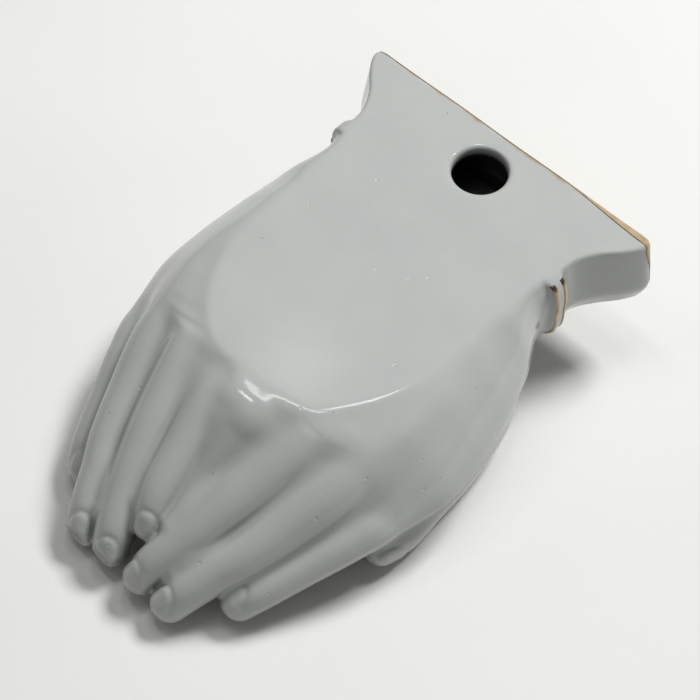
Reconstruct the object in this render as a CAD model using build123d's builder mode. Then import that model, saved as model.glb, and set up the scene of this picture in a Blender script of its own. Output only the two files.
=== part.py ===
from build123d import *
import os
from math import cos, radians, sin

# A hanging ornament in the form of two cupped hands, cast hollow in glazed ceramic.
# It lies on its palms: +Z is the outward normal of the flat wall side, +Y points to
# the closed cuff end and X runs across both hands. The origin is under the middle of the
# whole, on the surface that it rests on. Lengths are in millimetres.

# Driving sizes
back_width = 80.0
overall_length = 129.0
overall_height = 37.2
wall = 3.6
hole_radius = 6.5
hole_inset = 9.7
hole_edge = 0.8
gilt_width = 1.1
rim_width = 1.8
gilt_thickness = 0.25
overrun = 3.0

cuff_end_y = overall_length / 2 - gilt_thickness
wall_side_z = overall_height
plate_underside_z = wall_side_z - wall

# Shares of a span at which the control points of the curves stand
shoulder_out_share = 0.50
shoulder_drop_share = 0.15
flank_rise_share = 0.45
heel_drop_share = 0.55
heel_in_share = 0.50
bowl_rim_share = 0.35
bowl_floor_share = 0.35

# Where the knuckles and the end of the hollow stand, as shares of the overall length
# from the cuff end, and the height of the thumb's seat as a share of overall_height
knuckle_share = 0.620
pocket_end_share = 0.550
thumb_top_share = 0.280

# Cuff sections: station, flat back half width, side half width, side height,
# half width at the foot of the bevel, height of the front. Widths are shares of
# back_width and heights are shares of overall_height. The second row stands at the
# inside of the end wall.
cuff_shares = [
    (0.000, 0.500, 0.530, 0.634, 0.512, 0.516),
    (wall / overall_length, 0.483, 0.515, 0.634, 0.497, 0.516),
    (0.074, 0.430, 0.468, 0.634, 0.450, 0.516),
    (0.112, 0.398, 0.430, 0.634, 0.412, 0.516),
    (0.146, 0.390, 0.418, 0.634, 0.400, 0.516),
]

# Band and hand sections: station, flat back half width, side half width, side height,
# rim half width, rim height, height of the valley between the hands.
band_shares = [
    (0.146, 0.390, 0.432, 0.690, 0.330, 0.450, 0.500),
    (0.156, 0.390, 0.432, 0.690, 0.330, 0.450, 0.500),
    (0.164, 0.384, 0.426, 0.634, 0.310, 0.387, 0.500),
    (0.174, 0.384, 0.426, 0.634, 0.310, 0.387, 0.500),
]
hand_shares = [
    (0.174, 0.384, 0.420, 0.634, 0.300, 0.398, 0.495),
    (0.211, 0.376, 0.440, 0.613, 0.310, 0.312, 0.473),
    (0.279, 0.368, 0.478, 0.570, 0.350, 0.183, 0.462),
    (0.372, 0.362, 0.520, 0.484, 0.400, 0.118, 0.473),
    (0.465, 0.352, 0.543, 0.441, 0.430, 0.118, 0.516),
    (0.546, 0.300, 0.545, 0.419, 0.450, 0.161, 0.581),
    (0.620, 0.215, 0.525, 0.398, 0.450, 0.215, 0.645),
    (0.657, 0.125, 0.505, 0.387, 0.440, 0.247, 0.677),
    (0.682, 0.030, 0.490, 0.376, 0.430, 0.269, 0.699),
]

# Finger paths: place across, place along, height, half width, half depth.
# Half widths are shares of back_width and half depths of overall_height.
index_shares = [
    (0.455, 0.620, 0.437, 0.070, 0.183),
    (0.437, 0.695, 0.372, 0.066, 0.161),
    (0.405, 0.775, 0.290, 0.061, 0.146),
    (0.357, 0.850, 0.204, 0.057, 0.133),
    (0.326, 0.881, 0.151, 0.054, 0.129),
]
middle_shares = [
    (0.345, 0.620, 0.677, 0.078, 0.183),
    (0.332, 0.695, 0.596, 0.073, 0.161),
    (0.302, 0.775, 0.488, 0.068, 0.151),
    (0.243, 0.881, 0.344, 0.063, 0.142),
    (0.190, 0.936, 0.230, 0.060, 0.138),
    (0.170, 0.962, 0.140, 0.056, 0.129),
]
ring_shares = [
    (0.212, 0.620, 0.835, 0.076, 0.172),
    (0.205, 0.695, 0.735, 0.070, 0.151),
    (0.170, 0.775, 0.581, 0.066, 0.142),
    (0.128, 0.881, 0.402, 0.060, 0.133),
    (0.088, 0.930, 0.280, 0.057, 0.129),
    (0.066, 0.952, 0.194, 0.054, 0.123),
]
little_upper_shares = [
    (0.072, 0.620, 0.860, 0.072, 0.161),
    (0.064, 0.695, 0.800, 0.067, 0.142),
    (0.045, 0.775, 0.656, 0.060, 0.125),
    (0.028, 0.843, 0.559, 0.056, 0.116),
    (0.014, 0.885, 0.430, 0.053, 0.118),
    (0.008, 0.900, 0.370, 0.050, 0.108),
]
little_lower_shares = [
    (0.072, 0.620, 0.860, 0.072, 0.161),
    (0.066, 0.695, 0.790, 0.066, 0.142),
    (0.048, 0.775, 0.581, 0.060, 0.125),
    (0.034, 0.840, 0.400, 0.054, 0.116),
    (0.026, 0.868, 0.300, 0.050, 0.108),
]
thumb_shares = [
    (0.385, 0.300, 0.215, 0.060, 0.129),
    (0.425, 0.372, 0.172, 0.070, 0.151),
    (0.455, 0.450, 0.151, 0.070, 0.151),
    (0.476, 0.540, 0.151, 0.064, 0.140),
    (0.478, 0.600, 0.161, 0.058, 0.129),
    (0.468, 0.640, 0.172, 0.050, 0.118),
]

# Angles at which a rounded end is sectioned, from its widest section to its tip
end_angles = (25, 48, 66, 80)

# Sections along each finger's path
finger_steps = 10


def across(share):
    return share * back_width


def along(share):
    return cuff_end_y - share * overall_length


def above(share):
    return share * overall_height


def station_plane(share):
    return Plane.XZ.offset(-along(share))


def between(start, end, share):
    return start + (end - start) * share


def cuff_section(row, inset=0.0):
    """Half of a cuff section, square with a bevel at the foot of its side.

    Its outside runs above the wall side, where it is cut flat.
    """
    station, flat, side, side_height, foot, front_height = row
    outline = [
        (across(flat) - inset, wall_side_z - inset),
        (across(side) - inset, above(side_height)),
        (across(foot) - inset, above(front_height) + inset),
        (0, above(front_height) + inset),
    ]
    if inset:
        outline += [(0, wall_side_z - inset)]
    else:
        outline += [(0, wall_side_z + overrun), (across(flat), wall_side_z + overrun)]
    with BuildSketch(station_plane(station)) as section:
        with BuildLine():
            Polyline(*outline, close=True)
        make_face()
    return section.sketch.face()


def hand_section(row, grow=0.0):
    """Half of a hand section: rounded flank, rim and cupped palm.

    It runs above the wall side, where it is cut flat.
    """
    station, flat, side, side_height, rim, rim_height, valley_height = row
    flat_x = across(flat) + grow
    side_x, side_z = across(side) + grow, above(side_height)
    rim_x, rim_z = across(rim), above(rim_height) - grow
    valley_z = above(valley_height) - grow
    with BuildSketch(station_plane(station)) as section:
        with BuildLine():
            Line((0, wall_side_z + overrun), (flat_x, wall_side_z + overrun))
            Line((flat_x, wall_side_z + overrun), (flat_x, wall_side_z))
            Bezier(
                (flat_x, wall_side_z),
                (between(flat_x, side_x, shoulder_out_share),
                 between(wall_side_z, side_z, shoulder_drop_share)),
                (side_x, between(side_z, wall_side_z, flank_rise_share)),
                (side_x, side_z),
            )
            Bezier(
                (side_x, side_z),
                (side_x, between(side_z, rim_z, heel_drop_share)),
                (between(rim_x, side_x, heel_in_share), rim_z),
                (rim_x, rim_z),
            )
            Bezier(
                (rim_x, rim_z),
                (between(rim_x, 0, bowl_rim_share), rim_z),
                (rim_x * bowl_floor_share, valley_z),
                (0, valley_z),
            )
            Line((0, valley_z), (0, wall_side_z + overrun))
        make_face()
    return section.sketch.face()


def pocket_section(row):
    """Half of the hollow inside a hand section, one wall within its outside."""
    station, flat, side, side_height, rim, rim_height, valley_height = row
    flat_x, top_z = across(flat) - wall / 2, plate_underside_z
    side_x, side_z = across(side) - wall, above(side_height)
    floor_z = above(valley_height) + wall
    with BuildSketch(station_plane(station)) as section:
        with BuildLine():
            Line((0, top_z), (flat_x, top_z))
            Bezier(
                (flat_x, top_z),
                (between(flat_x, side_x, shoulder_out_share),
                 between(top_z, side_z, shoulder_drop_share)),
                (side_x, between(side_z, top_z, flank_rise_share)),
                (side_x, side_z),
            )
            Bezier(
                (side_x, side_z),
                (side_x, side_z - wall),
                (side_x * bowl_floor_share, floor_z),
                (0, floor_z),
            )
            Line((0, floor_z), (0, top_z))
        make_face()
    return section.sketch.face()


def size_at(rows, y):
    """Half width and half depth where a path passes y, from the rows on either side."""
    for (_, start, _, width, depth), (_, stop, _, next_width, next_depth) in zip(rows, rows[1:]):
        if y >= along(stop) or stop == rows[-1][1]:
            share = (along(start) - y) / (along(start) - along(stop))
            return across(between(width, next_width, share)), above(between(depth, next_depth, share))


def finger_sections(rows, hand_sign, round_start=False):
    """Ellipses square to a finger's path, closing in a rounded end."""
    path = Spline([(hand_sign * across(x), along(y), above(z)) for x, y, z, *_ in rows], mode=Mode.PRIVATE)
    stops = []
    for number in range(finger_steps + 1):
        point, direction = path @ (number / finger_steps), path % (number / finger_steps)
        stops.append((point, direction, size_at(rows, point.Y)))
    if not round_start:
        stops[0] = (stops[0][0], Vector(0, -1, 0), stops[0][2])
    ends = [(1, stops[-1])] + ([(-1, stops[0])] if round_start else [])
    for turn, (point, direction, (half_width, half_depth)) in ends:
        for angle in end_angles:
            reach = turn * half_width * sin(radians(angle))
            shrink = cos(radians(angle))
            cap = (point + direction * reach, direction, (half_width * shrink, half_depth * shrink))
            stops.insert(len(stops) if turn > 0 else 0, cap)
    faces = []
    for point, direction, (half_width, half_depth) in stops:
        level = Vector(0, 0, 1).cross(direction).normalized()
        with BuildSketch(Plane(origin=point, x_dir=level, z_dir=direction)) as section:
            Ellipse(half_width, half_depth)
        faces.append(section.sketch.face())
    return faces


def crease_plane(first_sign, first_rows, second_sign, second_rows):
    """Plane along the crease between two fingers, from a near and a far row of each path."""
    points = [
        [Vector(sign * across(row[0]), along(row[1]), above(row[2])) for row in rows]
        for sign, rows in ((first_sign, first_rows), (second_sign, second_rows))
    ]
    (first_near, first_far), (second_near, second_far) = points
    share = first_rows[0][3] / (first_rows[0][3] + second_rows[0][3])
    near = between(first_near, second_near, share)
    course = (between(first_far, second_far, share) - near).normalized()
    gap = (second_near - first_near) + (second_far - first_far)
    return Plane(origin=near, z_dir=gap - course * gap.dot(course))


def crease_rows(rows):
    return rows[0], rows[len(rows) // 2]


pieces = {}


def keep(name, builder):
    builder.part.label = name
    pieces[name] = builder.part


# Outsides and hollow of the right half, from which both hands are cut
pocket_rows = [row for row in hand_shares if row[0] < pocket_end_share]
plate_underside = Plane.XY.offset(plate_underside_z)
thumb_top = Plane.XY.offset(above(thumb_top_share))
knuckles = station_plane(knuckle_share)

wall_side = Plane.XY.offset(wall_side_z)

with BuildPart() as pocket:
    loft(sections=[pocket_section(row) for row in band_shares], ruled=True)
    loft(sections=[pocket_section(row) for row in pocket_rows])

# Flat wall side, one plate over both hands, with the hanging hole
plate_faces = [cuff_section(row) for row in cuff_shares[:-1]]
plate_faces += [hand_section(row) for row in band_shares[::len(band_shares) - 1]]
plate_faces += [hand_section(row) for row in hand_shares[1:] if row[0] <= knuckle_share]

with BuildPart() as back_plate:
    loft(sections=[
        split(face, bisect_by=plate_underside, keep=Keep.TOP, mode=Mode.PRIVATE).face()
        for face in plate_faces
    ])
    split(bisect_by=wall_side, keep=Keep.BOTTOM)
    mirror(about=Plane.YZ)
    with Locations((0, cuff_end_y - hole_inset, wall_side_z)):
        CounterSinkHole(hole_radius, hole_radius + hole_edge)
keep("back_plate", back_plate)

# Cuff, hollow behind its end wall
with BuildPart() as cuff:
    loft(sections=[cuff_section(row) for row in cuff_shares])
    loft(sections=[cuff_section(row, wall) for row in cuff_shares[1:]], mode=Mode.SUBTRACT)
    split(bisect_by=plate_underside, keep=Keep.BOTTOM)

# Raised band round the wrist
with BuildPart() as wrist_band:
    loft(sections=[hand_section(row) for row in band_shares], ruled=True)
    add(pocket.part, mode=Mode.SUBTRACT)
    split(bisect_by=plate_underside, keep=Keep.BOTTOM)

# Hand from the wrist to the knuckles, hollow behind the cupped palm
with BuildPart() as hand:
    loft(sections=[hand_section(row) for row in hand_shares])
    add(pocket.part, mode=Mode.SUBTRACT)
    split(bisect_by=plate_underside, keep=Keep.BOTTOM)
    split(bisect_by=knuckles, keep=Keep.BOTTOM)
    split(bisect_by=thumb_top, keep=Keep.TOP)

# Thumb along the rim of the palm, which the whole piece rests on
thumb_crease = crease_plane(1, thumb_shares[-2:], 1, index_shares[:2])

with BuildPart() as thumb:
    loft(sections=finger_sections(thumb_shares, 1, round_start=True), ruled=True)
    split(bisect_by=thumb_top, keep=Keep.BOTTOM)
    split(bisect_by=thumb_crease, keep=Keep.BOTTOM)

for side, hand_sign in (("right", 1), ("left", -1)):
    for name, builder in (("cuff", cuff), ("wrist_band", wrist_band), ("hand", hand), ("thumb", thumb)):
        with BuildPart() as piece:
            add(builder.part)
            if hand_sign < 0:
                mirror(about=Plane.YZ, mode=Mode.REPLACE)
        keep(side + "_" + name, piece)

# Fingers, cut along the creases between them. The left little finger lies over the right one.
little_crease = crease_plane(1, crease_rows(little_lower_shares), -1, crease_rows(little_upper_shares))

for side, hand_sign, little_shares in (("right", 1, little_lower_shares), ("left", -1, little_upper_shares)):
    fan = [("index", index_shares), ("middle", middle_shares), ("ring", ring_shares), ("little", little_shares)]
    creases = [crease_plane(hand_sign, thumb_shares[-2:], hand_sign, index_shares[:2])]
    for (_, outer_rows), (_, inner_rows) in zip(fan, fan[1:]):
        creases.append(crease_plane(hand_sign, crease_rows(outer_rows), hand_sign, crease_rows(inner_rows)))
    for number, (name, rows) in enumerate(fan):
        with BuildPart() as finger:
            loft(sections=finger_sections(rows, hand_sign), ruled=True)
            split(bisect_by=wall_side, keep=Keep.BOTTOM)
            split(bisect_by=creases[number], keep=Keep.TOP)
            if name != "little":
                split(bisect_by=creases[number + 1], keep=Keep.BOTTOM)
            elif hand_sign > 0:
                split(bisect_by=little_crease, keep=Keep.BOTTOM)
            else:
                split(bisect_by=little_crease, keep=Keep.TOP)
        keep(side + "_" + name + "_finger", finger)

# Gilt lines at both edges of each wrist band
for side, hand_sign in (("right", 1), ("left", -1)):
    for place, row, course in (("upper", band_shares[0], -1), ("lower", band_shares[-1], 1)):
        ring = hand_section(row, gilt_thickness) - hand_section(row)
        with BuildPart() as gilt_line:
            extrude(ring, amount=gilt_width, dir=(0, course, 0))
            split(bisect_by=wall_side, keep=Keep.BOTTOM)
            if hand_sign < 0:
                mirror(about=Plane.YZ, mode=Mode.REPLACE)
        keep(side + "_gilt_line_" + place, gilt_line)

# Gilding round the edge of the cuff end
cuff_end = cuff_shares[0]
with BuildPart() as rim_gilding:
    extrude(cuff_section(cuff_end) - cuff_section(cuff_end, rim_width), amount=gilt_thickness, dir=(0, 1, 0))
    split(bisect_by=wall_side, keep=Keep.BOTTOM)
    mirror(about=Plane.YZ)
keep("rim_gilding", rim_gilding)

os.makedirs("parts", exist_ok=True)
for name, piece in pieces.items():
    export_step(piece, "parts/" + name + ".step")
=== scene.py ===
import math

import bpy
import numpy as np
from bpy.props import FloatProperty, FloatVectorProperty, PointerProperty
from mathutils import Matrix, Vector


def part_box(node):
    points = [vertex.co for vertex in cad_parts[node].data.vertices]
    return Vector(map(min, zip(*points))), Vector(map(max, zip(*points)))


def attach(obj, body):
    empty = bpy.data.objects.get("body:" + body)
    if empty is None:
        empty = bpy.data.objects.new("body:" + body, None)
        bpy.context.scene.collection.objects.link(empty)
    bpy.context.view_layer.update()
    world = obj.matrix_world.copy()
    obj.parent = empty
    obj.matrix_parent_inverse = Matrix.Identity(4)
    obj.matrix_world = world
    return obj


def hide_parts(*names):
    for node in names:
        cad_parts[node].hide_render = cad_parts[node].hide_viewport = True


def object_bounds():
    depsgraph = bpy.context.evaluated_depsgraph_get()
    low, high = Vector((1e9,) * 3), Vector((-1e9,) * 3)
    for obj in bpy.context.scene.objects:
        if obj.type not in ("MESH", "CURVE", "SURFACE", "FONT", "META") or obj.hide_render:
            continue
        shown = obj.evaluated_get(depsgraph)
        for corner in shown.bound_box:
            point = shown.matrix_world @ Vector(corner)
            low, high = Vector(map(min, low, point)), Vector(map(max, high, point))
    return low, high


bl_info = {
    "name": "Cupped Hands Ornament",
    "version": (1, 0, 0),
    "blender": (4, 5, 0),
    "location": "View3D > Sidebar > Ceramics",
    "description": "Glazed body, gilding and stage for a ceramic ornament of two cupped hands",
    "category": "Object",
}

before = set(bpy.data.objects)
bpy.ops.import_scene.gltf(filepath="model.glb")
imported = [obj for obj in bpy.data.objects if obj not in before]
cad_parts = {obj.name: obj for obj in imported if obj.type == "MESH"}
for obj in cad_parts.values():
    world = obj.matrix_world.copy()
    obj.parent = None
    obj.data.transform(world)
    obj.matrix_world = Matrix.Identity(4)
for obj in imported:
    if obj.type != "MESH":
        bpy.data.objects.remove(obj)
cad_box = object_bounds()

# Lengths below are in millimetres in the CAD frame, and MM makes them metres.
MM = 0.001
BACK_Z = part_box("back_plate")[1].z / MM
CUFF_END_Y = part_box("back_plate")[1].y / MM
BACK_WIDTH = 80.0
WALL = 3.6
HOLE_RADIUS = 6.5
HOLE_INSET = 9.7

CERAMIC_NODES = ["back_plate"] + [
    side + "_" + part
    for side in ("left", "right")
    for part in (
        "cuff", "wrist_band", "hand", "thumb",
        "index_finger", "middle_finger", "ring_finger", "little_finger",
    )
]

# Finger and thumb paths of one hand, in shares of the flat back's width:
# across, below the cuff end, below the flat back, radius.
FINGER_PATHS = {
    "index": [
        (0.380, 0.55, 0.300, 0.080), (0.420, 0.80, 0.285, 0.085), (0.442, 1.00, 0.272, 0.078),
        (0.418, 1.12, 0.290, 0.070), (0.373, 1.25, 0.327, 0.062), (0.331, 1.36, 0.364, 0.057),
        (0.303, 1.415, 0.396, 0.055),
    ],
    "middle": [
        (0.300, 0.55, 0.180, 0.095), (0.320, 0.80, 0.115, 0.095), (0.328, 0.94, 0.132, 0.095),
        (0.325, 1.07, 0.176, 0.093), (0.287, 1.232, 0.245, 0.081), (0.256, 1.338, 0.285, 0.070),
        (0.222, 1.41, 0.317, 0.066), (0.188, 1.495, 0.360, 0.061), (0.168, 1.545, 0.400, 0.055),
    ],
    "ring": [
        (0.190, 0.55, 0.180, 0.090), (0.208, 0.85, 0.105, 0.090), (0.212, 0.98, 0.092, 0.088),
        (0.205, 1.07, 0.112, 0.082), (0.167, 1.232, 0.188, 0.077), (0.139, 1.338, 0.240, 0.070),
        (0.118, 1.41, 0.279, 0.064), (0.082, 1.50, 0.336, 0.058), (0.062, 1.545, 0.385, 0.053),
    ],
    "little_over": [
        (0.070, 0.55, 0.180, 0.090), (0.075, 0.85, 0.110, 0.090), (0.073, 1.00, 0.092, 0.088),
        (0.070, 1.07, 0.105, 0.084), (0.062, 1.14, 0.125, 0.077), (0.046, 1.25, 0.172, 0.066),
        (0.030, 1.36, 0.225, 0.058), (0.016, 1.415, 0.265, 0.053), (0.004, 1.445, 0.300, 0.049),
    ],
    "little_under": [
        (0.070, 0.55, 0.180, 0.090), (0.075, 0.85, 0.110, 0.090), (0.072, 1.00, 0.087, 0.088),
        (0.068, 1.08, 0.092, 0.085), (0.060, 1.14, 0.130, 0.076), (0.046, 1.25, 0.205, 0.062),
        (0.036, 1.36, 0.280, 0.055), (0.026, 1.41, 0.325, 0.050),
    ],
    "thumb": [
        (0.350, 0.42, 0.310, 0.070), (0.410, 0.56, 0.355, 0.085), (0.440, 0.72, 0.382, 0.082),
        (0.460, 0.86, 0.395, 0.068), (0.472, 0.97, 0.400, 0.061), (0.470, 1.040, 0.392, 0.050),
    ],
}

# Webs of clay that close the creases between neighbouring fingers, in the same shares
WEB_PATHS = {
    "index_middle": [
        (0.388, 0.90, 0.213, 0.064), (0.388, 1.00, 0.226, 0.064), (0.374, 1.09, 0.256, 0.062),
        (0.355, 1.17, 0.284, 0.059), (0.328, 1.25, 0.309, 0.055), (0.294, 1.34, 0.336, 0.051),
        (0.262, 1.40, 0.356, 0.045),
    ],
    "middle_ring": [
        (0.265, 0.86, 0.060, 0.072), (0.265, 0.96, 0.088, 0.072), (0.262, 1.04, 0.138, 0.068),
        (0.236, 1.18, 0.206, 0.060),
        (0.198, 1.32, 0.275, 0.055), (0.160, 1.42, 0.300, 0.050), (0.138, 1.48, 0.335, 0.046),
    ],
    "ring_little": [
        (0.142, 0.88, 0.064, 0.072), (0.141, 1.00, 0.074, 0.070), (0.138, 1.06, 0.096, 0.067),
        (0.124, 1.14, 0.144, 0.064),
        (0.098, 1.23, 0.196, 0.058), (0.082, 1.34, 0.245, 0.055), (0.068, 1.41, 0.280, 0.050),
    ],
}
LITTLE_WEB = [
    (0.000, 0.90, 0.062, 0.068), (0.000, 1.06, 0.070, 0.067), (0.002, 1.12, 0.100, 0.066),
    (0.006, 1.18, 0.152, 0.064),
    (0.010, 1.25, 0.215, 0.058), (0.012, 1.36, 0.285, 0.055), (0.012, 1.40, 0.320, 0.050),
]

# Sections of the hands from the wrist on: station below the cuff end, half width, depth of the
# widest line, reach above it, reach below it, squareness of the outline.
HAND_SECTIONS = [
    (0.20, 0.418, 0.165, 0.205, 0.110, 4.5),
    (0.28, 0.412, 0.165, 0.205, 0.115, 4.5),
    (0.32, 0.409, 0.175, 0.240, 0.130, 3.6),
    (0.45, 0.472, 0.200, 0.296, 0.175, 2.2),
    (0.60, 0.518, 0.235, 0.339, 0.185, 1.9),
    (0.75, 0.546, 0.255, 0.351, 0.165, 1.8),
    (0.88, 0.548, 0.265, 0.327, 0.145, 1.8),
    (1.00, 0.500, 0.270, 0.310, 0.120, 1.8),
    (1.06, 0.460, 0.265, 0.275, 0.100, 1.8),
    (1.14, 0.410, 0.260, 0.210, 0.080, 1.8),
]
HANDS_END = 1.05

# Outline of the flat back: station, half width. Its sides meet at 1.10, and the rows beyond that
# carry on their slope.
FLAT_OUTLINE = [
    (0.00, 0.600), (0.20, 0.420), (0.29, 0.384), (0.36, 0.377), (0.51, 0.364), (0.70, 0.360),
    (0.82, 0.325), (0.91, 0.282), (0.99, 0.222), (1.035, 0.172), (1.07, 0.112), (1.10, 0.0),
    (1.14, -0.20), (1.60, -2.50),
]
SHOULDER_SLOPE = 0.42
# step of the outline between the two hands, and where it comes in across and along
FLAT_STEP = 0.018
FLAT_STEP_PLACES = (-4, 1)
FLAT_STEP_STATIONS = (0.95, 1.03)
# rounding of the flat's edge at the wrists, how much less it is at the fingers, and where it changes
FLAT_EDGE = (1.3, 0.9)
FLAT_EDGE_STATIONS = (0.60, 0.85)

# Sections of the hollow between the palms: station, half width, depth of its roof.
BOWL_SECTIONS = [
    (0.26, 0.080, 0.290), (0.34, 0.175, 0.280), (0.45, 0.262, 0.278), (0.60, 0.328, 0.280),
    (0.75, 0.362, 0.268), (0.88, 0.378, 0.238), (1.00, 0.378, 0.220), (1.14, 0.362, 0.238),
    (1.30, 0.330, 0.300),
]
BOWL_FLOOR = 0.50
BOWL_SQUARENESS = 2.4
BOWL_ENDS = (0.26, 1.16)

# Cuff outline: station, half width of the flat back, half width of the side.
CUFF_OUTLINE = [
    (-0.0175, 0.530, 0.556), (0.06, 0.481, 0.513), (0.12, 0.428, 0.466), (0.18, 0.396, 0.430),
    (0.25, 0.388, 0.420),
]
# depth at which the side is reached, and the share of it at which the cuff stops widening
CUFF_SIDE_DEPTH = 0.170
CUFF_WIDENING_END = 1.3
CUFF_FRONT_DEPTH = 0.225
CUFF_BEVEL = 0.33
CUFF_CORNER = 4.0
# how far the glazed end stands out beyond the solid's
CUFF_REACH = 1.4

# Wrist band: its two edges, depth of its middle, half width, reach above and below, squareness
BAND_STATIONS = (0.236, 0.284)
BAND_DEPTH = 0.150
BAND_HALF_WIDTH = 0.430
BAND_REACHES = (0.180, 0.122)
BAND_SQUARENESS = 5.0

# Sections of the hollow inside: station, half width, depth of its middle, half depth.
HOLLOW_SECTIONS = [
    (0.00, 0.420, 0.110, 0.060), (0.12, 0.365, 0.110, 0.060), (0.25, 0.335, 0.112, 0.060),
    (0.45, 0.340, 0.118, 0.062), (0.65, 0.340, 0.122, 0.062), (0.84, 0.290, 0.118, 0.055),
]
HOLLOW_ENDS = (0.045, 0.86)
HOLLOW_SQUARENESS = 4.0

# Blends between forms, and rounding of their ends and edges
PALM_BLEND = 4.0
PALM_END_ROUND = 9.0
HANDS_END_ROUND = 6.0
KNUCKLE_BLEND = 5.5
FINGER_BLEND = 1.3
WRIST_BLEND = 0.9
CUFF_ROUND = 0.7
BACK_ROUND = 0.8
HOLE_ROUND = 1.2

# Station where the wide blend of the knuckles has ended, and the run over which it narrows
KNUCKLE_END = 1.28
KNUCKLE_RUN = 0.40

# Seam line of the mould: height, half width, and the stations between which it fades in and out
SEAM = (0.16, 0.7)
SEAM_STATIONS = (0.32, 0.38, 0.95, 1.05)

# Low waves of the glaze: height, then length and start across, along and up
WAVE_HEIGHT = 0.10
WAVES = ((5.1, 1.7), (6.3, 0.4), (5.7, 2.0))

# Nails: half length, half width, rise of the plate, depth and width of the groove round it
NAIL = (3.9, 2.9, 0.22, 0.24, 0.70)
NAIL_REGION = 9
NAILED = ("index", "middle", "ring", "little_over", "thumb")
# directions in which the nails of the right hand face
FINGER_NAIL_OUT = (0.0, 0.0, 1.0)
THUMB_NAIL_OUT = (0.9, 0.0, -0.1)
# numbers of path points that give a tip's direction, and that a nail can lie on
TIP_POINTS = 9
NAIL_POINTS = 15
# Runs over which a nail sets in: height above its middle, depth within its own finger, way in from
# its outline, and for the groove the way back from its middle
NAIL_HEIGHTS = (-3.2, -1.6)
NAIL_DEPTHS = (-1.0, -0.3)
NAIL_EDGE = (-0.2, 0.4)
GROOVE_WAY_BACK = (-1.5, 1.0)

BODY_TRIANGLES = 190000
# distance given to points further than the margin from a tube
STRAY_DISTANCE = 1e3
TUBE_MARGIN = 14
# longest step of a point on its way to the surface
LONGEST_STEP = 1.5

# Creases, darkened by pooled glaze and by painted shade: how far above the skin the distance is taken,
# how much less than that it is where pooled glaze and painted shade start, and the run over which they
# are full
CREASE_REACH = 2.0
POOL_AND_SHADE_START = 0.15
POOL_AND_SHADE_RUN = 1.3

# Painted shade inside: distances from the hollow's wall and depths in the hole over which it starts,
# and how far round the hole it is looked for
INSIDE_SHADE_DISTANCES = (-1.0, -0.6)
INSIDE_SHADE_DEPTHS = (1.6, 2.8)
HOLE_SURROUND = 0.5

# Gilt lines: angles from level at which they start on each hand and end
LINE_START = {1: 19, -1: 9}
LINE_END = -90
LINE_POINTS = 96
# distances of the lines' middles from the two edges of the wrist band
LINE_INSETS = (0.008, 0.007)
# how far out the points of a film start, and the rounds and the share of the distance of their way in
LINE_OUT = 44
LINE_ROUNDS = 40
RIM_OUT = 60
RIM_ROUNDS = 60
WAY_IN_SHARE = 0.8

# Rim gilding: points round it, how far before the end its outline is taken, depth of the end face's
# middle, and how many times as wide as high the face is
RIM_POINTS = 241
RIM_INSET = 2.6
END_FACE_DEPTH = 0.112
END_FACE_SPREAD = 2.2
# middle of the rim gilding's broad corner, as an angle round the cuff end, and its spread
RIM_CORNER = (0.38, 0.30)
# width on the cuff's side, at the edge and on the end face, each with what the corner adds
RIM_WIDTHS = ((0.02, 1.5), (0.12, 0.45), (1.1, 0.6))

# Camera of the photograph: lens and sensor in millimetres, direction in degrees, aim and distance in
# shares of the flat back's width
LENS, SENSOR = 102.86, 36
AZIMUTH, ELEVATION = 43.1082, 57.6325
AIM = (0.1438, 0.8133)
CAMERA_DISTANCE = 5.3398

# Lamps: name, place, size across, size up, power, whether the glaze mirrors it
LAMPS = (
    ("window", (0.12, 0.66, 0.95), 0.34, 0.28, 11.6, False),
    ("strip", (-0.20, 0.02, 1.13), 0.12, 0.56, 1.6, True),
    ("lower_strip", (-0.07, 0.25, 1.12), 0.16, 0.16, 0.9, True),
    ("window_glint", (-0.524, 0.504, 1.22), 0.060, 0.035, 0.032, True),
    ("edge_glint", (0.06, 0.62, 1.00), 0.05, 0.05, 0.30, True),
    ("finger_glint", (-0.42, -0.29, 1.00), 0.07, 0.07, 0.30, True),
)

# World light, and how much darker the floor's paper is in its darker spots
WORLD_COLOUR = (1.0, 1.0, 0.99)
WORLD_STRENGTH = 0.16
PAPER_SHADE = 0.96


def across(share):
    """Place across the hands from a share of the flat back's width."""
    return share * BACK_WIDTH


def down(share):
    """Place along the hands, below the cuff end, from the same share."""
    return CUFF_END_Y - share * BACK_WIDTH


def deep(share):
    """Height above the resting surface, below the flat back, from the same share."""
    return BACK_Z - share * BACK_WIDTH


def table_value(rows, column, station):
    """Smooth value of a table column at each station, by cubic pieces through its rows."""
    xs = np.array([row[0] for row in rows])
    ys = np.array([row[column] for row in rows])
    slopes = np.gradient(ys, xs)
    station = np.clip(station, xs[0], xs[-1])
    i = np.clip(np.searchsorted(xs, station) - 1, 0, len(xs) - 2)
    step = xs[i + 1] - xs[i]
    t = (station - xs[i]) / step
    return (
        ys[i] * (1 + 2 * t) * (1 - t) ** 2
        + slopes[i] * step * t * (1 - t) ** 2
        + ys[i + 1] * t * t * (3 - 2 * t)
        + slopes[i + 1] * step * t * t * (t - 1)
    )


def blend_union(a, b, width):
    """Least of two distances, with a fillet of about that width between them."""
    h = np.clip(0.5 + 0.5 * (b - a) / width, 0, 1)
    return b + (a - b) * h - width * h * (1 - h)


def blend_cut(a, b, width):
    """Greatest of two distances, with a rounded edge of about that width."""
    return -blend_union(-a, -b, width)


def smooth_step(value, start, stop):
    """Rise from 0 at start to 1 at stop, level at both."""
    t = np.clip((value - start) / (stop - start), 0, 1)
    return t * t * (3 - 2 * t)


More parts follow.
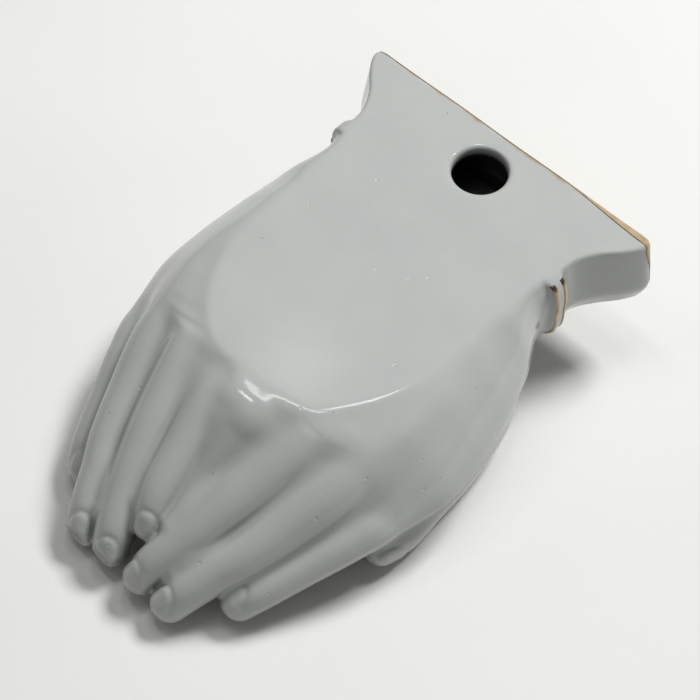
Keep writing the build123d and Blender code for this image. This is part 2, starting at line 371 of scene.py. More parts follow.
def section_distance(across_mm, height_mm, half_width, half_height, squareness):
    """Distance from a rounded section, measured towards its middle."""
    ratio = (
        np.abs(across_mm / half_width) ** squareness + np.abs(height_mm / half_height) ** squareness
    ) ** (1 / squareness)
    reach = np.sqrt(across_mm**2 + height_mm**2)
    return reach * (1 - 1 / np.maximum(ratio, 1e-6))


def path_points(rows, hand_sign, steps=10):
    """Points in millimetres and radii along a path, smoothly through its rows."""
    places = np.linspace(0, len(rows) - 1, (len(rows) - 1) * steps + 1)
    numbered = [(number,) + row for number, row in enumerate(rows)]
    x, y, z, r = (table_value(numbered, column, places) for column in (1, 2, 3, 4))
    return np.stack([hand_sign * across(x), down(y), deep(z)], 1), across(r)


def tube_distance(points, path, radii):
    """Distance of points from a round tube of changing radius."""
    best = np.full(len(points), STRAY_DISTANCE)
    low, high = path.min(0) - TUBE_MARGIN, path.max(0) + TUBE_MARGIN
    near = np.flatnonzero(np.all((points > low) & (points < high), axis=1))
    if not len(near):
        return best
    p = points[near]
    found = np.full(len(p), STRAY_DISTANCE)
    for start, stop, r0, r1 in zip(path, path[1:], radii, radii[1:]):
        run = stop - start
        t = np.clip((p - start) @ run / (run @ run), 0, 1)
        gap = np.linalg.norm(p - start - t[:, None] * run, axis=1) - (r0 + (r1 - r0) * t)
        found = np.minimum(found, gap)
    best[near] = found
    return best


def hand_tubes():
    """Fingers, thumbs and webs of both hands, and the nails at their ends."""
    tubes, nails = [], []
    for hand_sign, hidden in ((1, "little_over"), (-1, "little_under")):
        for name, rows in FINGER_PATHS.items():
            if name == hidden:
                continue
            path, radii = path_points(rows, hand_sign)
            tubes.append((path, radii))
            if name in NAILED:
                end = path[-1] - path[-TIP_POINTS]
                end /= np.linalg.norm(end)
                out = np.array(THUMB_NAIL_OUT if name == "thumb" else FINGER_NAIL_OUT)
                out[0] *= hand_sign
                out -= out @ end * end
                out /= np.linalg.norm(out)
                middle = path[-1] + out * radii[-1]
                nails.append((middle, end, out, path[-NAIL_POINTS:], radii[-NAIL_POINTS:]))
        for rows in WEB_PATHS.values():
            tubes.append(path_points(rows, hand_sign))
    tubes.append(path_points(LITTLE_WEB, 1))
    return tubes, nails


TUBES, NAILS = hand_tubes()


def hollow_distance(x, z, station):
    """Distance from the wall of the hollow inside."""
    half_width, depth, half_depth = (
        table_value(HOLLOW_SECTIONS, column, station) for column in (1, 2, 3)
    )
    hollow = section_distance(
        x, z - deep(depth), across(half_width), across(half_depth), HOLLOW_SQUARENESS
    )
    hollow = blend_cut(hollow, (station - HOLLOW_ENDS[1]) * BACK_WIDTH, PALM_BLEND)
    return blend_cut(hollow, (HOLLOW_ENDS[0] - station) * BACK_WIDTH, CUFF_ROUND)


def cuff_distance(x, y, z, station):
    """Distance from the flared cuffs, without the flat back."""
    flat = across(table_value(CUFF_OUTLINE, 1, station))
    side = across(table_value(CUFF_OUTLINE, 2, station))
    slope = np.clip((BACK_Z - z) / across(CUFF_SIDE_DEPTH), 0, CUFF_WIDENING_END)
    cuff = x - (flat + (side - flat) * slope)
    cuff = blend_cut(cuff, x - side + CUFF_BEVEL * (deep(CUFF_SIDE_DEPTH) - z), CUFF_ROUND)
    cuff = blend_cut(cuff, deep(CUFF_FRONT_DEPTH) - z, CUFF_ROUND)
    cuff = blend_cut(cuff, y - CUFF_END_Y - CUFF_REACH, CUFF_CORNER)
    return blend_cut(cuff, (station - BAND_STATIONS[1]) * BACK_WIDTH, CUFF_ROUND)


def shoulder_distance(points, x, z, station):
    """Distance above the flat back and the slope that falls away from its outline."""
    side = smooth_step(points[:, 0], *FLAT_STEP_PLACES) - 0.5
    step = FLAT_STEP * side * smooth_step(station, *FLAT_STEP_STATIONS)
    stepped = station - step
    half = table_value(FLAT_OUTLINE, 1, stepped)
    short_way = 0.004
    turn = (table_value(FLAT_OUTLINE, 1, stepped + short_way) - half) / short_way
    beyond = (x - across(half)) / np.sqrt(1 + turn**2)
    edge = FLAT_EDGE[0] - FLAT_EDGE[1] * smooth_step(station, *FLAT_EDGE_STATIONS)
    return blend_cut(z - BACK_Z, z - BACK_Z + SHOULDER_SLOPE * beyond, edge)


def nail_relief(points):
    """Rise of the nails and dip of the grooves round them."""
    relief = np.zeros(len(points))
    half_length, half_width, rise, groove, groove_width = NAIL
    for centre, end, out, path, radii in NAILS:
        near = np.flatnonzero(np.abs(points - centre).max(1) < NAIL_REGION)
        if not len(near):
            continue
        p = points[near] - centre
        side = np.cross(end, out)
        along, wide, up = p @ end, p @ side, p @ out
        ratio = np.hypot(along / half_length, wide / half_width)
        edge = (ratio - 1) * (half_length + half_width) / 2
        own = -tube_distance(points[near], path, radii)
        facing = smooth_step(up, *NAIL_HEIGHTS) * smooth_step(own, *NAIL_DEPTHS)
        plate = -rise * smooth_step(-edge, *NAIL_EDGE)
        fold = groove * np.exp(-((edge / groove_width) ** 2)) * smooth_step(-along, *GROOVE_WAY_BACK)
        relief[near] += (plate + fold) * facing
    return relief


def form_distance(points):
    """Signed distance, in millimetres, of points from the glazed surface."""
    x, y, z = np.abs(points[:, 0]), points[:, 1], points[:, 2]
    station = (CUFF_END_Y - y) / BACK_WIDTH
    # hands
    middle = deep(table_value(HAND_SECTIONS, 2, station))
    half_width, above, below, squareness = (
        table_value(HAND_SECTIONS, column, station) for column in (1, 3, 4, 5)
    )
    hands = section_distance(
        x, z - middle, across(half_width), across(np.where(z > middle, above, below)), squareness
    )
    hands = blend_cut(hands, (station - HANDS_END) * BACK_WIDTH, HANDS_END_ROUND)
    hands = blend_cut(hands, (BAND_STATIONS[0] - station) * BACK_WIDTH, CUFF_ROUND)
    # fingers, blended softly at the knuckles and closely at their ends
    softness = np.clip((KNUCKLE_END - station) / KNUCKLE_RUN, 0, 1)
    width = FINGER_BLEND + (KNUCKLE_BLEND - FINGER_BLEND) * softness**1.5
    form = hands
    for path, radii in TUBES:
        form = blend_union(form, tube_distance(points, path, radii), width)
    form = blend_cut(form, (BAND_STATIONS[0] - station) * BACK_WIDTH, CUFF_ROUND)
    # hollow between the palms
    bowl = section_distance(
        x, z - deep(BOWL_FLOOR), across(table_value(BOWL_SECTIONS, 1, station)),
        across(BOWL_FLOOR - table_value(BOWL_SECTIONS, 2, station)), BOWL_SQUARENESS,
    )
    bowl = blend_cut(bowl, (BOWL_ENDS[0] - station) * BACK_WIDTH, PALM_BLEND)
    bowl = blend_cut(bowl, (station - BOWL_ENDS[1]) * BACK_WIDTH, PALM_END_ROUND)
    form = blend_cut(form, -bowl, PALM_BLEND)
    # wrist band
    above, below = (across(share) for share in BAND_REACHES)
    band = section_distance(
        x, z - deep(BAND_DEPTH), across(BAND_HALF_WIDTH), np.where(z > deep(BAND_DEPTH), above, below),
        BAND_SQUARENESS,
    )
    band = blend_cut(band, (BAND_STATIONS[0] - station) * BACK_WIDTH, WRIST_BLEND)
    band = blend_cut(band, (station - BAND_STATIONS[1]) * BACK_WIDTH, WRIST_BLEND)
    form = blend_union(form, band, WRIST_BLEND)
    form = blend_union(form, cuff_distance(x, y, z, station), WRIST_BLEND)
    # seam line of the mould, low waves of the glaze, and nails
    seam = smooth_step(station, *SEAM_STATIONS[:2]) * (1 - smooth_step(station, *SEAM_STATIONS[2:]))
    form = form - SEAM[0] * np.exp(-(((z - middle) / SEAM[1]) ** 2)) * seam
    wave_x, wave_y, wave_z = (
        np.sin(place / length + start) for place, (length, start) in zip((x, y, z), WAVES)
    )
    form = form - WAVE_HEIGHT * wave_x * wave_y * wave_z
    form = form + nail_relief(points)
    # flat wall side, hollow inside and hanging hole
    form = blend_cut(form, shoulder_distance(points, x, z, station), BACK_ROUND)
    form = blend_cut(form, -hollow_distance(x, z, station), CUFF_ROUND)
    hole = np.hypot(points[:, 0], y - (CUFF_END_Y - HOLE_INSET)) - HOLE_RADIUS
    hole = np.maximum(hole, BACK_Z - 2 * WALL - z)
    return blend_cut(form, -hole, HOLE_ROUND)


def slope_of(points, gap):
    """Direction in which the distance grows fastest, at points whose distance is known."""
    step = 0.05
    return np.stack([form_distance(points + step * axis) - gap for axis in np.eye(3)], 1) / step


def settle(points, rounds, close=0.01, farthest=9.0, flattest=0.15, shortest=1e-9):
    """Moves points onto the glazed surface along the slope of its distance, never away from it."""
    start = points
    points = points.copy()
    moving = np.arange(len(points))
    gap = form_distance(points)
    for _ in range(rounds):
        far = np.abs(gap) > close
        moving, gap = moving[far], gap[far]
        if not len(moving):
            break
        here = points[moving]
        slope = slope_of(here, gap)
        move = -(gap / np.maximum((slope**2).sum(1), flattest))[:, None] * slope
        length = np.linalg.norm(move, axis=1)
        there = here + move * np.minimum(1, LONGEST_STEP / np.maximum(length, shortest))[:, None]
        new_gap = form_distance(there)
        nearer = np.abs(new_gap) < np.abs(gap)
        points[moving[nearer]] = there[nearer]
        gap = np.where(nearer, new_gap, 0)
    moved = points - start
    length = np.linalg.norm(moved, axis=1)
    return start + moved * np.minimum(1, farthest / np.maximum(length, shortest))[:, None]


def deselect():
    if bpy.context.object and bpy.context.object.mode != "OBJECT":
        bpy.ops.object.mode_set(mode="OBJECT")
    bpy.ops.object.select_all(action="DESELECT")


def make_active(obj):
    deselect()
    obj.select_set(True)
    bpy.context.view_layer.objects.active = obj


def apply_modifiers(obj):
    make_active(obj)
    for modifier in list(obj.modifiers):
        bpy.ops.object.modifier_apply(modifier=modifier.name)


def read_points(obj):
    flat = np.empty(len(obj.data.vertices) * 3)
    obj.data.vertices.foreach_get("co", flat)
    return flat.reshape(-1, 3) / MM


def write_points(obj, points):
    obj.data.vertices.foreach_set("co", (points * MM).ravel())
    obj.data.update()


def distance_grid(spacing, margin=2, block=4, reach=3.4, batch=150000):
    """Distances at the points of a grid round the ornament, worked out in full only near its skin."""
    low = np.array(cad_box[0]) / MM - margin
    counts = np.ceil((np.array(cad_box[1]) / MM + margin - low) / spacing / block).astype(int)
    coarse = np.stack(np.meshgrid(*[np.arange(count) for count in counts], indexing="ij"), -1)
    middles = low + (coarse.reshape(-1, 3) * block + (block - 1) / 2) * spacing
    rough = form_distance(middles).reshape(counts)
    values = rough
    for axis in range(3):
        values = np.repeat(values, block, axis=axis)
    near = np.argwhere(np.abs(values) < reach)
    for start in range(0, len(near), batch):
        part = near[start:start + batch]
        values[tuple(part.T)] = form_distance(low + part * spacing)
    return low, values


def clay_mesh(name, spacing):
    """A closed skin of four-sided faces where the distance is zero, a point in each cell it crosses."""
    low, values = distance_grid(spacing)
    inside = values < 0
    corners_of = [(i, j, k) for i in (0, 1) for j in (0, 1) for k in (0, 1)]
    size = np.array(values.shape) - 1
    count = sum(
        inside[i:i + size[0], j:j + size[1], k:k + size[2]].astype(np.int8) for i, j, k in corners_of
    )
    cells = np.argwhere((count > 0) & (count < 8))
    number = np.full(size, -1)
    number[tuple(cells.T)] = np.arange(len(cells))
    total, hits = np.zeros((len(cells), 3)), np.zeros(len(cells))
    for corner in corners_of:
        for axis in range(3):
            if corner[axis]:
                continue
            other = np.array(corner)
            other[axis] = 1
            first, second = values[tuple((cells + corner).T)], values[tuple((cells + other).T)]
            crossed = (first < 0) != (second < 0)
            share = np.where(crossed, first / np.where(crossed, first - second, 1), 0)
            place = np.tile(np.array(corner, float), (len(cells), 1))
            place[:, axis] = share
            total += place * crossed[:, None]
            hits += crossed
    points = low + (cells + total / hits[:, None]) * spacing
    faces = []
    for axis in range(3):
        before = np.take(inside, range(inside.shape[axis] - 1), axis)
        after = np.take(inside, range(1, inside.shape[axis]), axis)
        places = np.argwhere(before != after)
        leaving = before[tuple(places.T)]
        ways = [(axis + 1) % 3, (axis + 2) % 3]
        ring = []
        for shift in ((-1, -1), (0, -1), (0, 0), (-1, 0)):
            cell = places.copy()
            cell[:, ways[0]] += shift[0]
            cell[:, ways[1]] += shift[1]
            ring.append(number[tuple(cell.T)])
        ring = np.stack(ring, 1)
        ring[~leaving] = ring[~leaving][:, ::-1]
        faces.append(ring)
    faces = np.concatenate(faces)
    mesh = bpy.data.meshes.new(name)
    mesh.from_pydata(points * MM, [], faces)
    mesh.update()
    clay = bpy.data.objects.new(name, mesh)
    bpy.context.scene.collection.objects.link(clay)
    return clay


def smooth_mesh(obj, rounds, factor=0.5):
    modifier = obj.modifiers.new("smooth", "SMOOTH")
    modifier.iterations = rounds
    modifier.factor = factor
    apply_modifiers(obj)


def thin_out(obj, triangles):
    """Merges faces, first where the skin is flattest, down to a number of triangles."""
    have = sum(len(face.vertices) - 2 for face in obj.data.polygons)
    if have > triangles:
        modifier = obj.modifiers.new("fewer", "DECIMATE")
        modifier.ratio = triangles / have
        apply_modifiers(obj)


def shade_smooth(obj):
    make_active(obj)
    bpy.ops.object.shade_smooth()


class GlazeNodes:
    """Small helper that adds shader nodes and links them."""

    def __init__(self, name):
        self.material = bpy.data.materials.new(name)
        self.material.use_nodes = True
        self.tree = self.material.node_tree
        self.shader = self.tree.nodes["Principled BSDF"]
        self.place = self.add("ShaderNodeTexCoord").outputs["Object"]

    def add(self, kind, **values):
        node = self.tree.nodes.new(kind)
        for key, value in values.items():
            setattr(node, key, value)
        return node

    def link(self, source, target):
        self.tree.links.new(source, target)

    def noise(self, scale, detail):
        node = self.add("ShaderNodeTexNoise")
        node.inputs["Scale"].default_value = scale
        node.inputs["Detail"].default_value = detail
        self.link(self.place, node.inputs["Vector"])
        return node.outputs["Fac"]

    def dots(self, scale):
        node = self.add("ShaderNodeTexVoronoi")
        node.inputs["Scale"].default_value = scale
        self.link(self.place, node.inputs["Vector"])
        return node

    def ranged(self, value, low, high, to_low=0.0, to_high=1.0):
        node = self.add("ShaderNodeMapRange")
        node.inputs["From Min"].default_value = low
        node.inputs["From Max"].default_value = high
        node.inputs["To Min"].default_value = to_low
        node.inputs["To Max"].default_value = to_high
        self.link(value, node.inputs["Value"])
        return node.outputs["Result"]

    def maths(self, operation, *values):
        node = self.add("ShaderNodeMath", operation=operation)
        for number, value in enumerate(values):
            if hasattr(value, "links"):
                self.link(value, node.inputs[number])
            else:
                node.inputs[number].default_value = value
        return node.outputs[0]

    def mixed(self, share, first, second):
        node = self.add("ShaderNodeMix", data_type="RGBA")
        self.link(share, node.inputs[0])
        for socket, colour in ((node.inputs[6], first), (node.inputs[7], second)):
            if hasattr(colour, "links"):
                self.link(colour, socket)
            else:
                socket.default_value = (*colour, 1)
        return node.outputs[2]

    def bump(self, height, distance_mm, previous=None):
        node = self.add("ShaderNodeBump")
        node.inputs["Distance"].default_value = distance_mm * MM
        self.link(height, node.inputs["Height"])
        if previous:
            self.link(previous, node.inputs["Normal"])
        return node.outputs["Normal"]


def glaze_material(look):
    """Glossy light grey glaze: pooled glaze and painted shade in creases, painted shade in the hollow,
    thin and brown at the cuff end, specked and pitted.
    """
    nodes = GlazeNodes("light_grey_glaze")
    shader = nodes.shader
    shader.inputs["IOR"].default_value = 1.5
    mottle = nodes.noise(90, 4)
    # pooled glaze in the creases, darkened further as painted shade
    pooling_and_shade_attribute = nodes.add("ShaderNodeAttribute", attribute_name="pooling_and_shade").outputs["Fac"]
    pooled_and_shaded = nodes.maths("MULTIPLY", pooling_and_shade_attribute, nodes.ranged(mottle, 0.3, 0.7, 0.75, 1.0))
    thin = nodes.ranged(mottle, 0.35, 0.65, 0.0, 0.5)
    colour = nodes.mixed(thin, look.glaze_colour, look.thin_glaze_colour)
    colour = nodes.mixed(pooled_and_shaded, colour, look.pooled_glaze_and_shade_colour)
    # thin brown glaze along the cuff end
    split = nodes.add("ShaderNodeSeparateXYZ")
    nodes.link(nodes.place, split.inputs[0])
    ragged = nodes.ranged(nodes.noise(160, 3), 0.3, 0.7, -0.6 * MM, 0.6 * MM)
    worn = nodes.maths("ADD", split.outputs["Y"], ragged)
    worn = nodes.maths("ADD", worn, nodes.ranged(split.outputs["X"], 26 * MM, 41 * MM, 0.0, 1.0 * MM))
    edge_share = nodes.ranged(worn, (CUFF_END_Y + 0.5) * MM, (CUFF_END_Y + 1.5) * MM, 0.0, 0.85)
    colour = nodes.mixed(edge_share, colour, look.worn_edge_colour)
    # painted shade in the hollow and down the hole, and rougher there
    inside = nodes.add("ShaderNodeAttribute", attribute_name="inside").outputs["Fac"]
    colour = nodes.mixed(inside, colour, look.painted_shade_inside_colour)
    nodes.link(nodes.ranged(inside, 0.0, 1.0, 0.12, 0.8), shader.inputs["Roughness"])
    # iron specks, each in its own place and mostly very small
    for scale, radius, share, speck in (
        (310, 0.060, 0.93, look.speck_colour), (95, 0.030, 0.95, look.brown_speck_colour)
    ):
        spot = nodes.dots(scale)
        small = nodes.ranged(spot.outputs["Distance"], radius, radius * 0.55)
        chosen = nodes.add("ShaderNodeSeparateColor")
        nodes.link(spot.outputs["Color"], chosen.inputs[0])
        rare = nodes.maths("GREATER_THAN", chosen.outputs[0], share)
        colour = nodes.mixed(nodes.maths("MULTIPLY", small, rare), colour, speck)
    nodes.link(colour, shader.inputs["Base Color"])
    # pinholes, ripple of the glaze and fine orange peel
    pits = nodes.dots(330)
    pit_pick = nodes.add("ShaderNodeSeparateColor")
    nodes.link(pits.outputs["Color"], pit_pick.inputs[0])
    pit_shape = nodes.ranged(pits.outputs["Distance"], 0.0, 0.16, 1.0, 0.0)
    pit = nodes.maths("MULTIPLY", pit_shape, nodes.maths("GREATER_THAN", pit_pick.outputs[1], 0.90))
    normal = nodes.bump(nodes.noise(38, 1), 0.055)
    normal = nodes.bump(nodes.noise(420, 2), 0.004, normal)
    normal = nodes.bump(nodes.maths("MULTIPLY", pit, -1.0), 0.12, normal)
    nodes.link(normal, shader.inputs["Normal"])
    return nodes.material


def gilt_material(name, look, worn_low, worn_high, blob_depth):
    """Matt worn gold film, brown where it was laid thickly near the flat back."""
    nodes = GlazeNodes(name)
    shader = nodes.shader
    shader.inputs["Metallic"].default_value = 0.2
    shader.inputs["Roughness"].default_value = 0.42
    worn = nodes.ranged(nodes.noise(420, 4), worn_low, worn_high)
    colour = nodes.mixed(worn, look.gilt_colour, look.gilt_shade_colour)
    split = nodes.add("ShaderNodeSeparateXYZ")
    nodes.link(nodes.place, split.inputs[0])
    ragged = nodes.ranged(nodes.noise(700, 2), 0.3, 0.7, -0.4 * MM, 0.4 * MM)
    height = nodes.maths("ADD", split.outputs["Z"], ragged)
    blob_start = BACK_Z - blob_depth
    thick = nodes.ranged(height, blob_start * MM, (blob_start + 0.5) * MM, 0.0, 0.95)
    nodes.link(nodes.mixed(thick, colour, look.gilt_end_colour), shader.inputs["Base Color"])
    nodes.link(nodes.bump(nodes.noise(900, 3), 0.02), shader.inputs["Normal"])
    return nodes.material


def ribbon(name, rows, closed, thickness):
    """A thin film from a primitive grid whose points are laid in rows on the glazed surface."""
    count, width = rows.shape[:2]
    deselect()
    bpy.ops.mesh.primitive_grid_add(x_subdivisions=width - 1, y_subdivisions=count - 1, size=1)
    film = bpy.context.object
    film.name = name
    write_points(film, settle(rows.reshape(-1, 3), 6, 0.002))
    if closed:
        bpy.ops.object.mode_set(mode="EDIT")
        bpy.ops.mesh.select_all(action="SELECT")
        bpy.ops.mesh.remove_doubles(threshold=0.02 * MM)
        bpy.ops.object.mode_set(mode="OBJECT")
    # the film faces away from the clay
    face = film.data.polygons[len(film.data.polygons) // 2]
    middle = np.array([list(face.center)]) / MM
    outward = slope_of(middle, form_distance(middle))[0]
    if np.dot(outward, face.normal) < 0:
        bpy.ops.object.mode_set(mode="EDIT")
        bpy.ops.mesh.select_all(action="SELECT")
        bpy.ops.mesh.flip_normals()
        bpy.ops.object.mode_set(mode="OBJECT")
    solid = film.modifiers.new("thickness", "SOLIDIFY")
    solid.thickness = thickness * MM
    solid.offset = 1
    apply_modifiers(film)
    film.location = (0, 0, 0)
    shade_smooth(film)
    return film


def waver(number, *waves):
    """Unsteadiness of a painted film at one of its rows, from waves of a height, a pace and a start."""
    return sum(height * math.sin(number * pace + start) for height, pace, start in waves)


def gilt_line_rows(hand_sign, station, width):
    """Rows of points of one gilt line, from the flat back round the side to the palm valley."""
    angles = np.radians(np.linspace(LINE_START[hand_sign], LINE_END, LINE_POINTS))
    centre_z = deep(BAND_DEPTH)
    rows = []
    for number, angle in enumerate(angles):
        wander = waver(number, (0.14, 0.21, station * 40), (0.05, 0.8, 0))
        half = width / 2 * (1 + waver(number, (0.18, 0.47, 1.3)))
        heading = np.array([hand_sign * math.cos(angle), 0, math.sin(angle)])
        row = []
        for place in np.linspace(-1, 1, 5):
            start = np.array([0, down(station) + wander + place * half, centre_z])
            row.append(np.append(start + heading * LINE_OUT, heading))
        rows.append(row)
    rows = np.array(rows)
    points, headings = rows[..., :3].reshape(-1, 3).copy(), rows[..., 3:].reshape(-1, 3)
    for _ in range(LINE_ROUNDS):
        points -= headings * (WAY_IN_SHARE * form_distance(points))[:, None]
    return points.reshape(rows.shape[0], rows.shape[1], 3)


def rim_rows():
    """Rows of points of the gilding round the edge of the cuff end, broadest at one corner."""
    angles = np.linspace(0, 2 * math.pi, RIM_POINTS)
    centre = np.array([0, CUFF_END_Y + CUFF_REACH - RIM_INSET, deep(END_FACE_DEPTH)])
    headings = np.stack([np.cos(angles) * END_FACE_SPREAD, 0 * angles, np.sin(angles)], 1)
    headings /= np.linalg.norm(headings, axis=1)[:, None]
    points = centre + headings * RIM_OUT
    for _ in range(RIM_ROUNDS):
        points -= headings * (WAY_IN_SHARE * np.maximum(form_distance(points), 0))[:, None]
    rows = []
    for number, (point, angle) in enumerate(zip(points, angles)):
        corner = math.exp(-(((angle - RIM_CORNER[0]) / RIM_CORNER[1]) ** 2))
        side, edge, face = (width + more * corner for width, more in RIM_WIDTHS)
        face -= waver(number, (0.16, 0.31, 0), (0.10, 0.83, 2), (0.06, 1.9, 0))
        inward = centre - point
        inward[1] = 0
        inward /= np.linalg.norm(inward)
        base = np.array([point[0], CUFF_END_Y + CUFF_REACH, point[2]])
        row = [base + np.array([0, -side * share - edge, 0]) for share in (1, 0.6, 0.2)]
        row += [
            base + inward * over + np.array([0, -edge * share, 0])
            for over, share in ((0.05, 0.7), (0.15, 0.45), (0.3, 0.2), (0.5, 0.0))
        ]
        row += [base + inward * (0.9 + face * share) for share in (0.1, 0.55, 1)]
        rows.append(row)
    rows[-1] = rows[0]
    return np.array(rows)


class HandsSizes(bpy.types.PropertyGroup):
    """Sizes that a user of the ornament would change."""

    clay_size: FloatProperty(
        name="Clay size", description="Spacing of the body's mesh", default=0.0006, min=0.0003,
        unit="LENGTH",
    )
    line_width: FloatProperty(
        name="Gilt line width", description="Width of each gilt line at the wrists", default=0.0008,
        unit="LENGTH",
    )
    film_thickness: FloatProperty(
        name="Film thickness", description="Thickness of the gold film", default=0.00016,
        unit="LENGTH",
    )
    floor_size: FloatProperty(
        name="Floor size", description="Length of each side of the paper floor", default=6.0,
        unit="LENGTH",
    )


def colour_property(name, description, default):
    return FloatVectorProperty(
        name=name, description=description, default=default, size=3, subtype="COLOR", min=0, max=1
    )


class HandsLook(bpy.types.PropertyGroup):
    """Colours that a user of the ornament would change."""

    glaze_colour: colour_property("Glaze", "Main colour of the glaze", (0.445, 0.460, 0.448))
    thin_glaze_colour: colour_property("Thin glaze", "Glaze where it lies thinly", (0.485, 0.498, 0.484))
    # darker in creases: pooled glaze, and painted shade
    pooled_glaze_and_shade_colour: colour_property(
        "Pooled glaze", "Glaze where it has run into creases", (0.225, 0.240, 0.227)
    )
    worn_edge_colour: colour_property(
        "Worn edge", "Brown clay and gilt at the cuff end", (0.330, 0.235, 0.140)
    )
    # near-black painted shade in the hollow and down the hole
    painted_shade_inside_colour: colour_property("Inside", "Bare clay in the hollow", (0.018, 0.017, 0.016))
    speck_colour: colour_property("Specks", "Iron specks in the glaze", (0.150, 0.150, 0.140))
    brown_speck_colour: colour_property("Brown specks", "Larger brown specks", (0.170, 0.110, 0.050))
    gilt_colour: colour_property("Gilt", "Worn gold of the lines", (0.620, 0.470, 0.290))
    gilt_shade_colour: colour_property("Gilt shade", "Gold where it has worn", (0.370, 0.270, 0.160))
    gilt_end_colour: colour_property(
        "Gilt ends", "Brown blobs where the lines start", (0.050, 0.025, 0.012)
    )
    floor_colour: colour_property("Floor", "Pale paper under the ornament", (0.800, 0.800, 0.775))


class HANDS_OT_body(bpy.types.Operator):
    """Model the hollow glazed body: cuffs, wrists, hands, fingers and thumbs in one skin"""

    bl_idname = "hands.body"
    bl_label = "Glazed Body"

    def inside_shade_share(self, points):
        """How far each point is down in the hollow or the hole, from 0 outside to 1 within, for painted
        shade.
        """
        x, y, z = np.abs(points[:, 0]), points[:, 1], points[:, 2]
        station = (CUFF_END_Y - y) / BACK_WIDTH
        within = smooth_step(-np.abs(hollow_distance(x, z, station)), *INSIDE_SHADE_DISTANCES)
        from_hole = np.hypot(points[:, 0], y - (CUFF_END_Y - HOLE_INSET)) - HOLE_RADIUS
        in_hole = (from_hole < HOLE_SURROUND) * smooth_step(BACK_Z - z, *INSIDE_SHADE_DEPTHS)
        return np.maximum(within, in_hole)

    def execute(self, context):
        size = context.scene.hands_sizes.clay_size / MM * 1
        body = clay_mesh("ceramic_body", size)
        for _ in range(2):
            write_points(body, settle(read_points(body), 3, farthest=0.8 * size))
            smooth_mesh(body, 2)
        thin_out(body, BODY_TRIANGLES)
        write_points(body, settle(read_points(body), 2, 0.002, 0.5 * size))
        points = read_points(body)
        normals = np.empty(len(points) * 3)
        body.data.vertices.foreach_get("normal", normals)
        # creases darkened as pooled glaze and as painted shade
        above = form_distance(points + normals.reshape(-1, 3) * CREASE_REACH)
        # painted shade in the hollow and down the hole
        inside = self.inside_shade_share(points)
        pooled_and_shaded = np.clip((CREASE_REACH - above - POOL_AND_SHADE_START) / POOL_AND_SHADE_RUN, 0, 1) * (1 - inside)
        for name, values in (("pooling_and_shade", pooled_and_shaded), ("inside", inside)):
            layer = body.data.attributes.new(name, "FLOAT", "POINT")
            layer.data.foreach_set("value", values)
        shade_smooth(body)
        body.data.materials.append(glaze_material(context.scene.hands_look))
        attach(body, "root")
        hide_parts(*CERAMIC_NODES)
        return {"FINISHED"}


class HANDS_OT_gilt_lines(bpy.types.Operator):
    """Lay the four gilt lines round the wrists"""

    bl_idname = "hands.gilt_lines"
    bl_label = "Gilt Lines"

    def execute(self, context):
        sizes, look = context.scene.hands_sizes, context.scene.hands_look
        material = gilt_material("gilt_line", look, 0.50, 0.80, 2.2)
        for side, hand_sign in (("left", -1), ("right", 1)):
            stations = (BAND_STATIONS[0] + LINE_INSETS[0], BAND_STATIONS[1] - LINE_INSETS[1])
            for place, station in zip(("upper", "lower"), stations):
                rows = gilt_line_rows(hand_sign, station, sizes.line_width / MM)
                line = ribbon(side + "_gilt_" + place, rows, False, sizes.film_thickness / MM)
                line.data.materials.append(material)
                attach(line, "root")
                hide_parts(side + "_gilt_line_" + place)
        return {"FINISHED"}


class HANDS_OT_rim_gilding(bpy.types.Operator):
    """Lay the worn gilding round the edge of the cuff end"""

    bl_idname = "hands.rim_gilding"
    bl_label = "Rim Gilding"

    def execute(self, context):
        sizes, look = context.scene.hands_sizes, context.scene.hands_look
        rim = ribbon("rim_gilt", rim_rows(), True, sizes.film_thickness / MM)
        rim.data.materials.append(gilt_material("rim_gilt", look, 0.25, 0.80, -2.0))
        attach(rim, "root")
        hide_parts("rim_gilding")
        return {"FINISHED"}


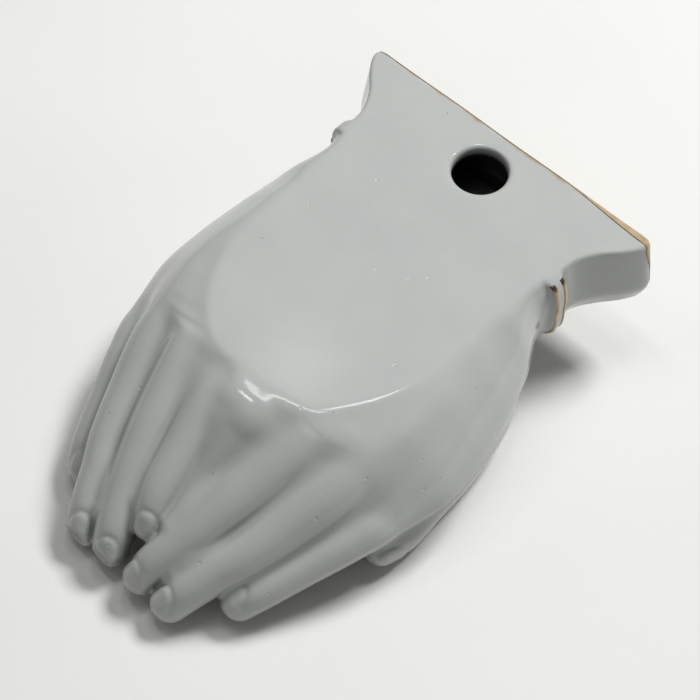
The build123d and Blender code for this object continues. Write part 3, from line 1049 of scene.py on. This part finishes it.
class HANDS_OT_stage(bpy.types.Operator):
    """Set the paper floor, the soft lights and the camera"""

    bl_idname = "hands.stage"
    bl_label = "Stage"

    def execute(self, context):
        deselect()
        bpy.ops.mesh.primitive_plane_add(size=context.scene.hands_sizes.floor_size, location=(0, 0, 0))
        floor = context.object
        floor.name = "floor"
        paper = GlazeNodes("floor_paper")
        colour = context.scene.hands_look.floor_colour
        shade = [PAPER_SHADE * channel for channel in colour]
        mottle = paper.ranged(paper.noise(9, 2), 0.35, 0.65)
        paper.link(paper.mixed(mottle, shade, colour), paper.shader.inputs["Base Color"])
        paper.shader.inputs["Roughness"].default_value = 0.75
        floor.data.materials.append(paper.material)
        world = bpy.data.worlds.new("studio")
        context.scene.world = world
        world.use_nodes = True
        background = world.node_tree.nodes["Background"]
        background.inputs["Color"].default_value = (*WORLD_COLOUR, 1)
        background.inputs["Strength"].default_value = WORLD_STRENGTH
        for name, place, width, height, power, mirrored in LAMPS:
            light = bpy.data.lights.new(name, "AREA")
            light.shape = "RECTANGLE"
            light.size = width
            light.size_y = height
            light.energy = power
            lamp = bpy.data.objects.new(name, light)
            lamp.location = place
            lamp.visible_glossy = mirrored
            lamp.rotation_euler = (-Vector(place)).to_track_quat("-Z", "Y").to_euler()
            context.scene.collection.objects.link(lamp)
        camera_data = bpy.data.cameras.new("camera")
        camera_data.sensor_width = SENSOR
        camera_data.lens = LENS
        camera = bpy.data.objects.new("camera", camera_data)
        azimuth, elevation = math.radians(AZIMUTH), math.radians(ELEVATION)
        level = math.cos(elevation)
        back = Vector((math.sin(azimuth) * level, -math.cos(azimuth) * level, math.sin(elevation)))
        aim = Vector((across(AIM[0]), down(AIM[1]), BACK_Z))
        camera.location = (aim + back * across(CAMERA_DISTANCE)) * MM
        camera.rotation_euler = (-back).to_track_quat("-Z", "Y").to_euler()
        context.scene.collection.objects.link(camera)
        context.scene.camera = camera
        context.scene.view_settings.view_transform = "Standard"
        return {"FINISHED"}


class HANDS_PT_panel(bpy.types.Panel):
    """Lists the pieces of the ornament and its stage"""

    bl_idname = "HANDS_PT_panel"
    bl_label = "Cupped Hands"
    bl_space_type = "VIEW_3D"
    bl_region_type = "UI"
    bl_category = "Ceramics"

    def draw(self, context):
        for group in (context.scene.hands_sizes, context.scene.hands_look):
            for name in group.__annotations__:
                self.layout.prop(group, name)
        for operator in OPERATORS:
            self.layout.operator(operator.bl_idname)


OPERATORS = (HANDS_OT_stage, HANDS_OT_body, HANDS_OT_gilt_lines, HANDS_OT_rim_gilding)
CLASSES = (HandsSizes, HandsLook) + OPERATORS + (HANDS_PT_panel,)


def register():
    for item in CLASSES:
        bpy.utils.register_class(item)
    bpy.types.Scene.hands_sizes = PointerProperty(type=HandsSizes)
    bpy.types.Scene.hands_look = PointerProperty(type=HandsLook)


def unregister():
    del bpy.types.Scene.hands_look
    del bpy.types.Scene.hands_sizes
    for item in reversed(CLASSES):
        bpy.utils.unregister_class(item)


def main():
    register()
    bpy.ops.hands.stage()
    bpy.ops.hands.body()
    bpy.ops.hands.gilt_lines()
    bpy.ops.hands.rim_gilding()


if __name__ == "__main__":
    main()
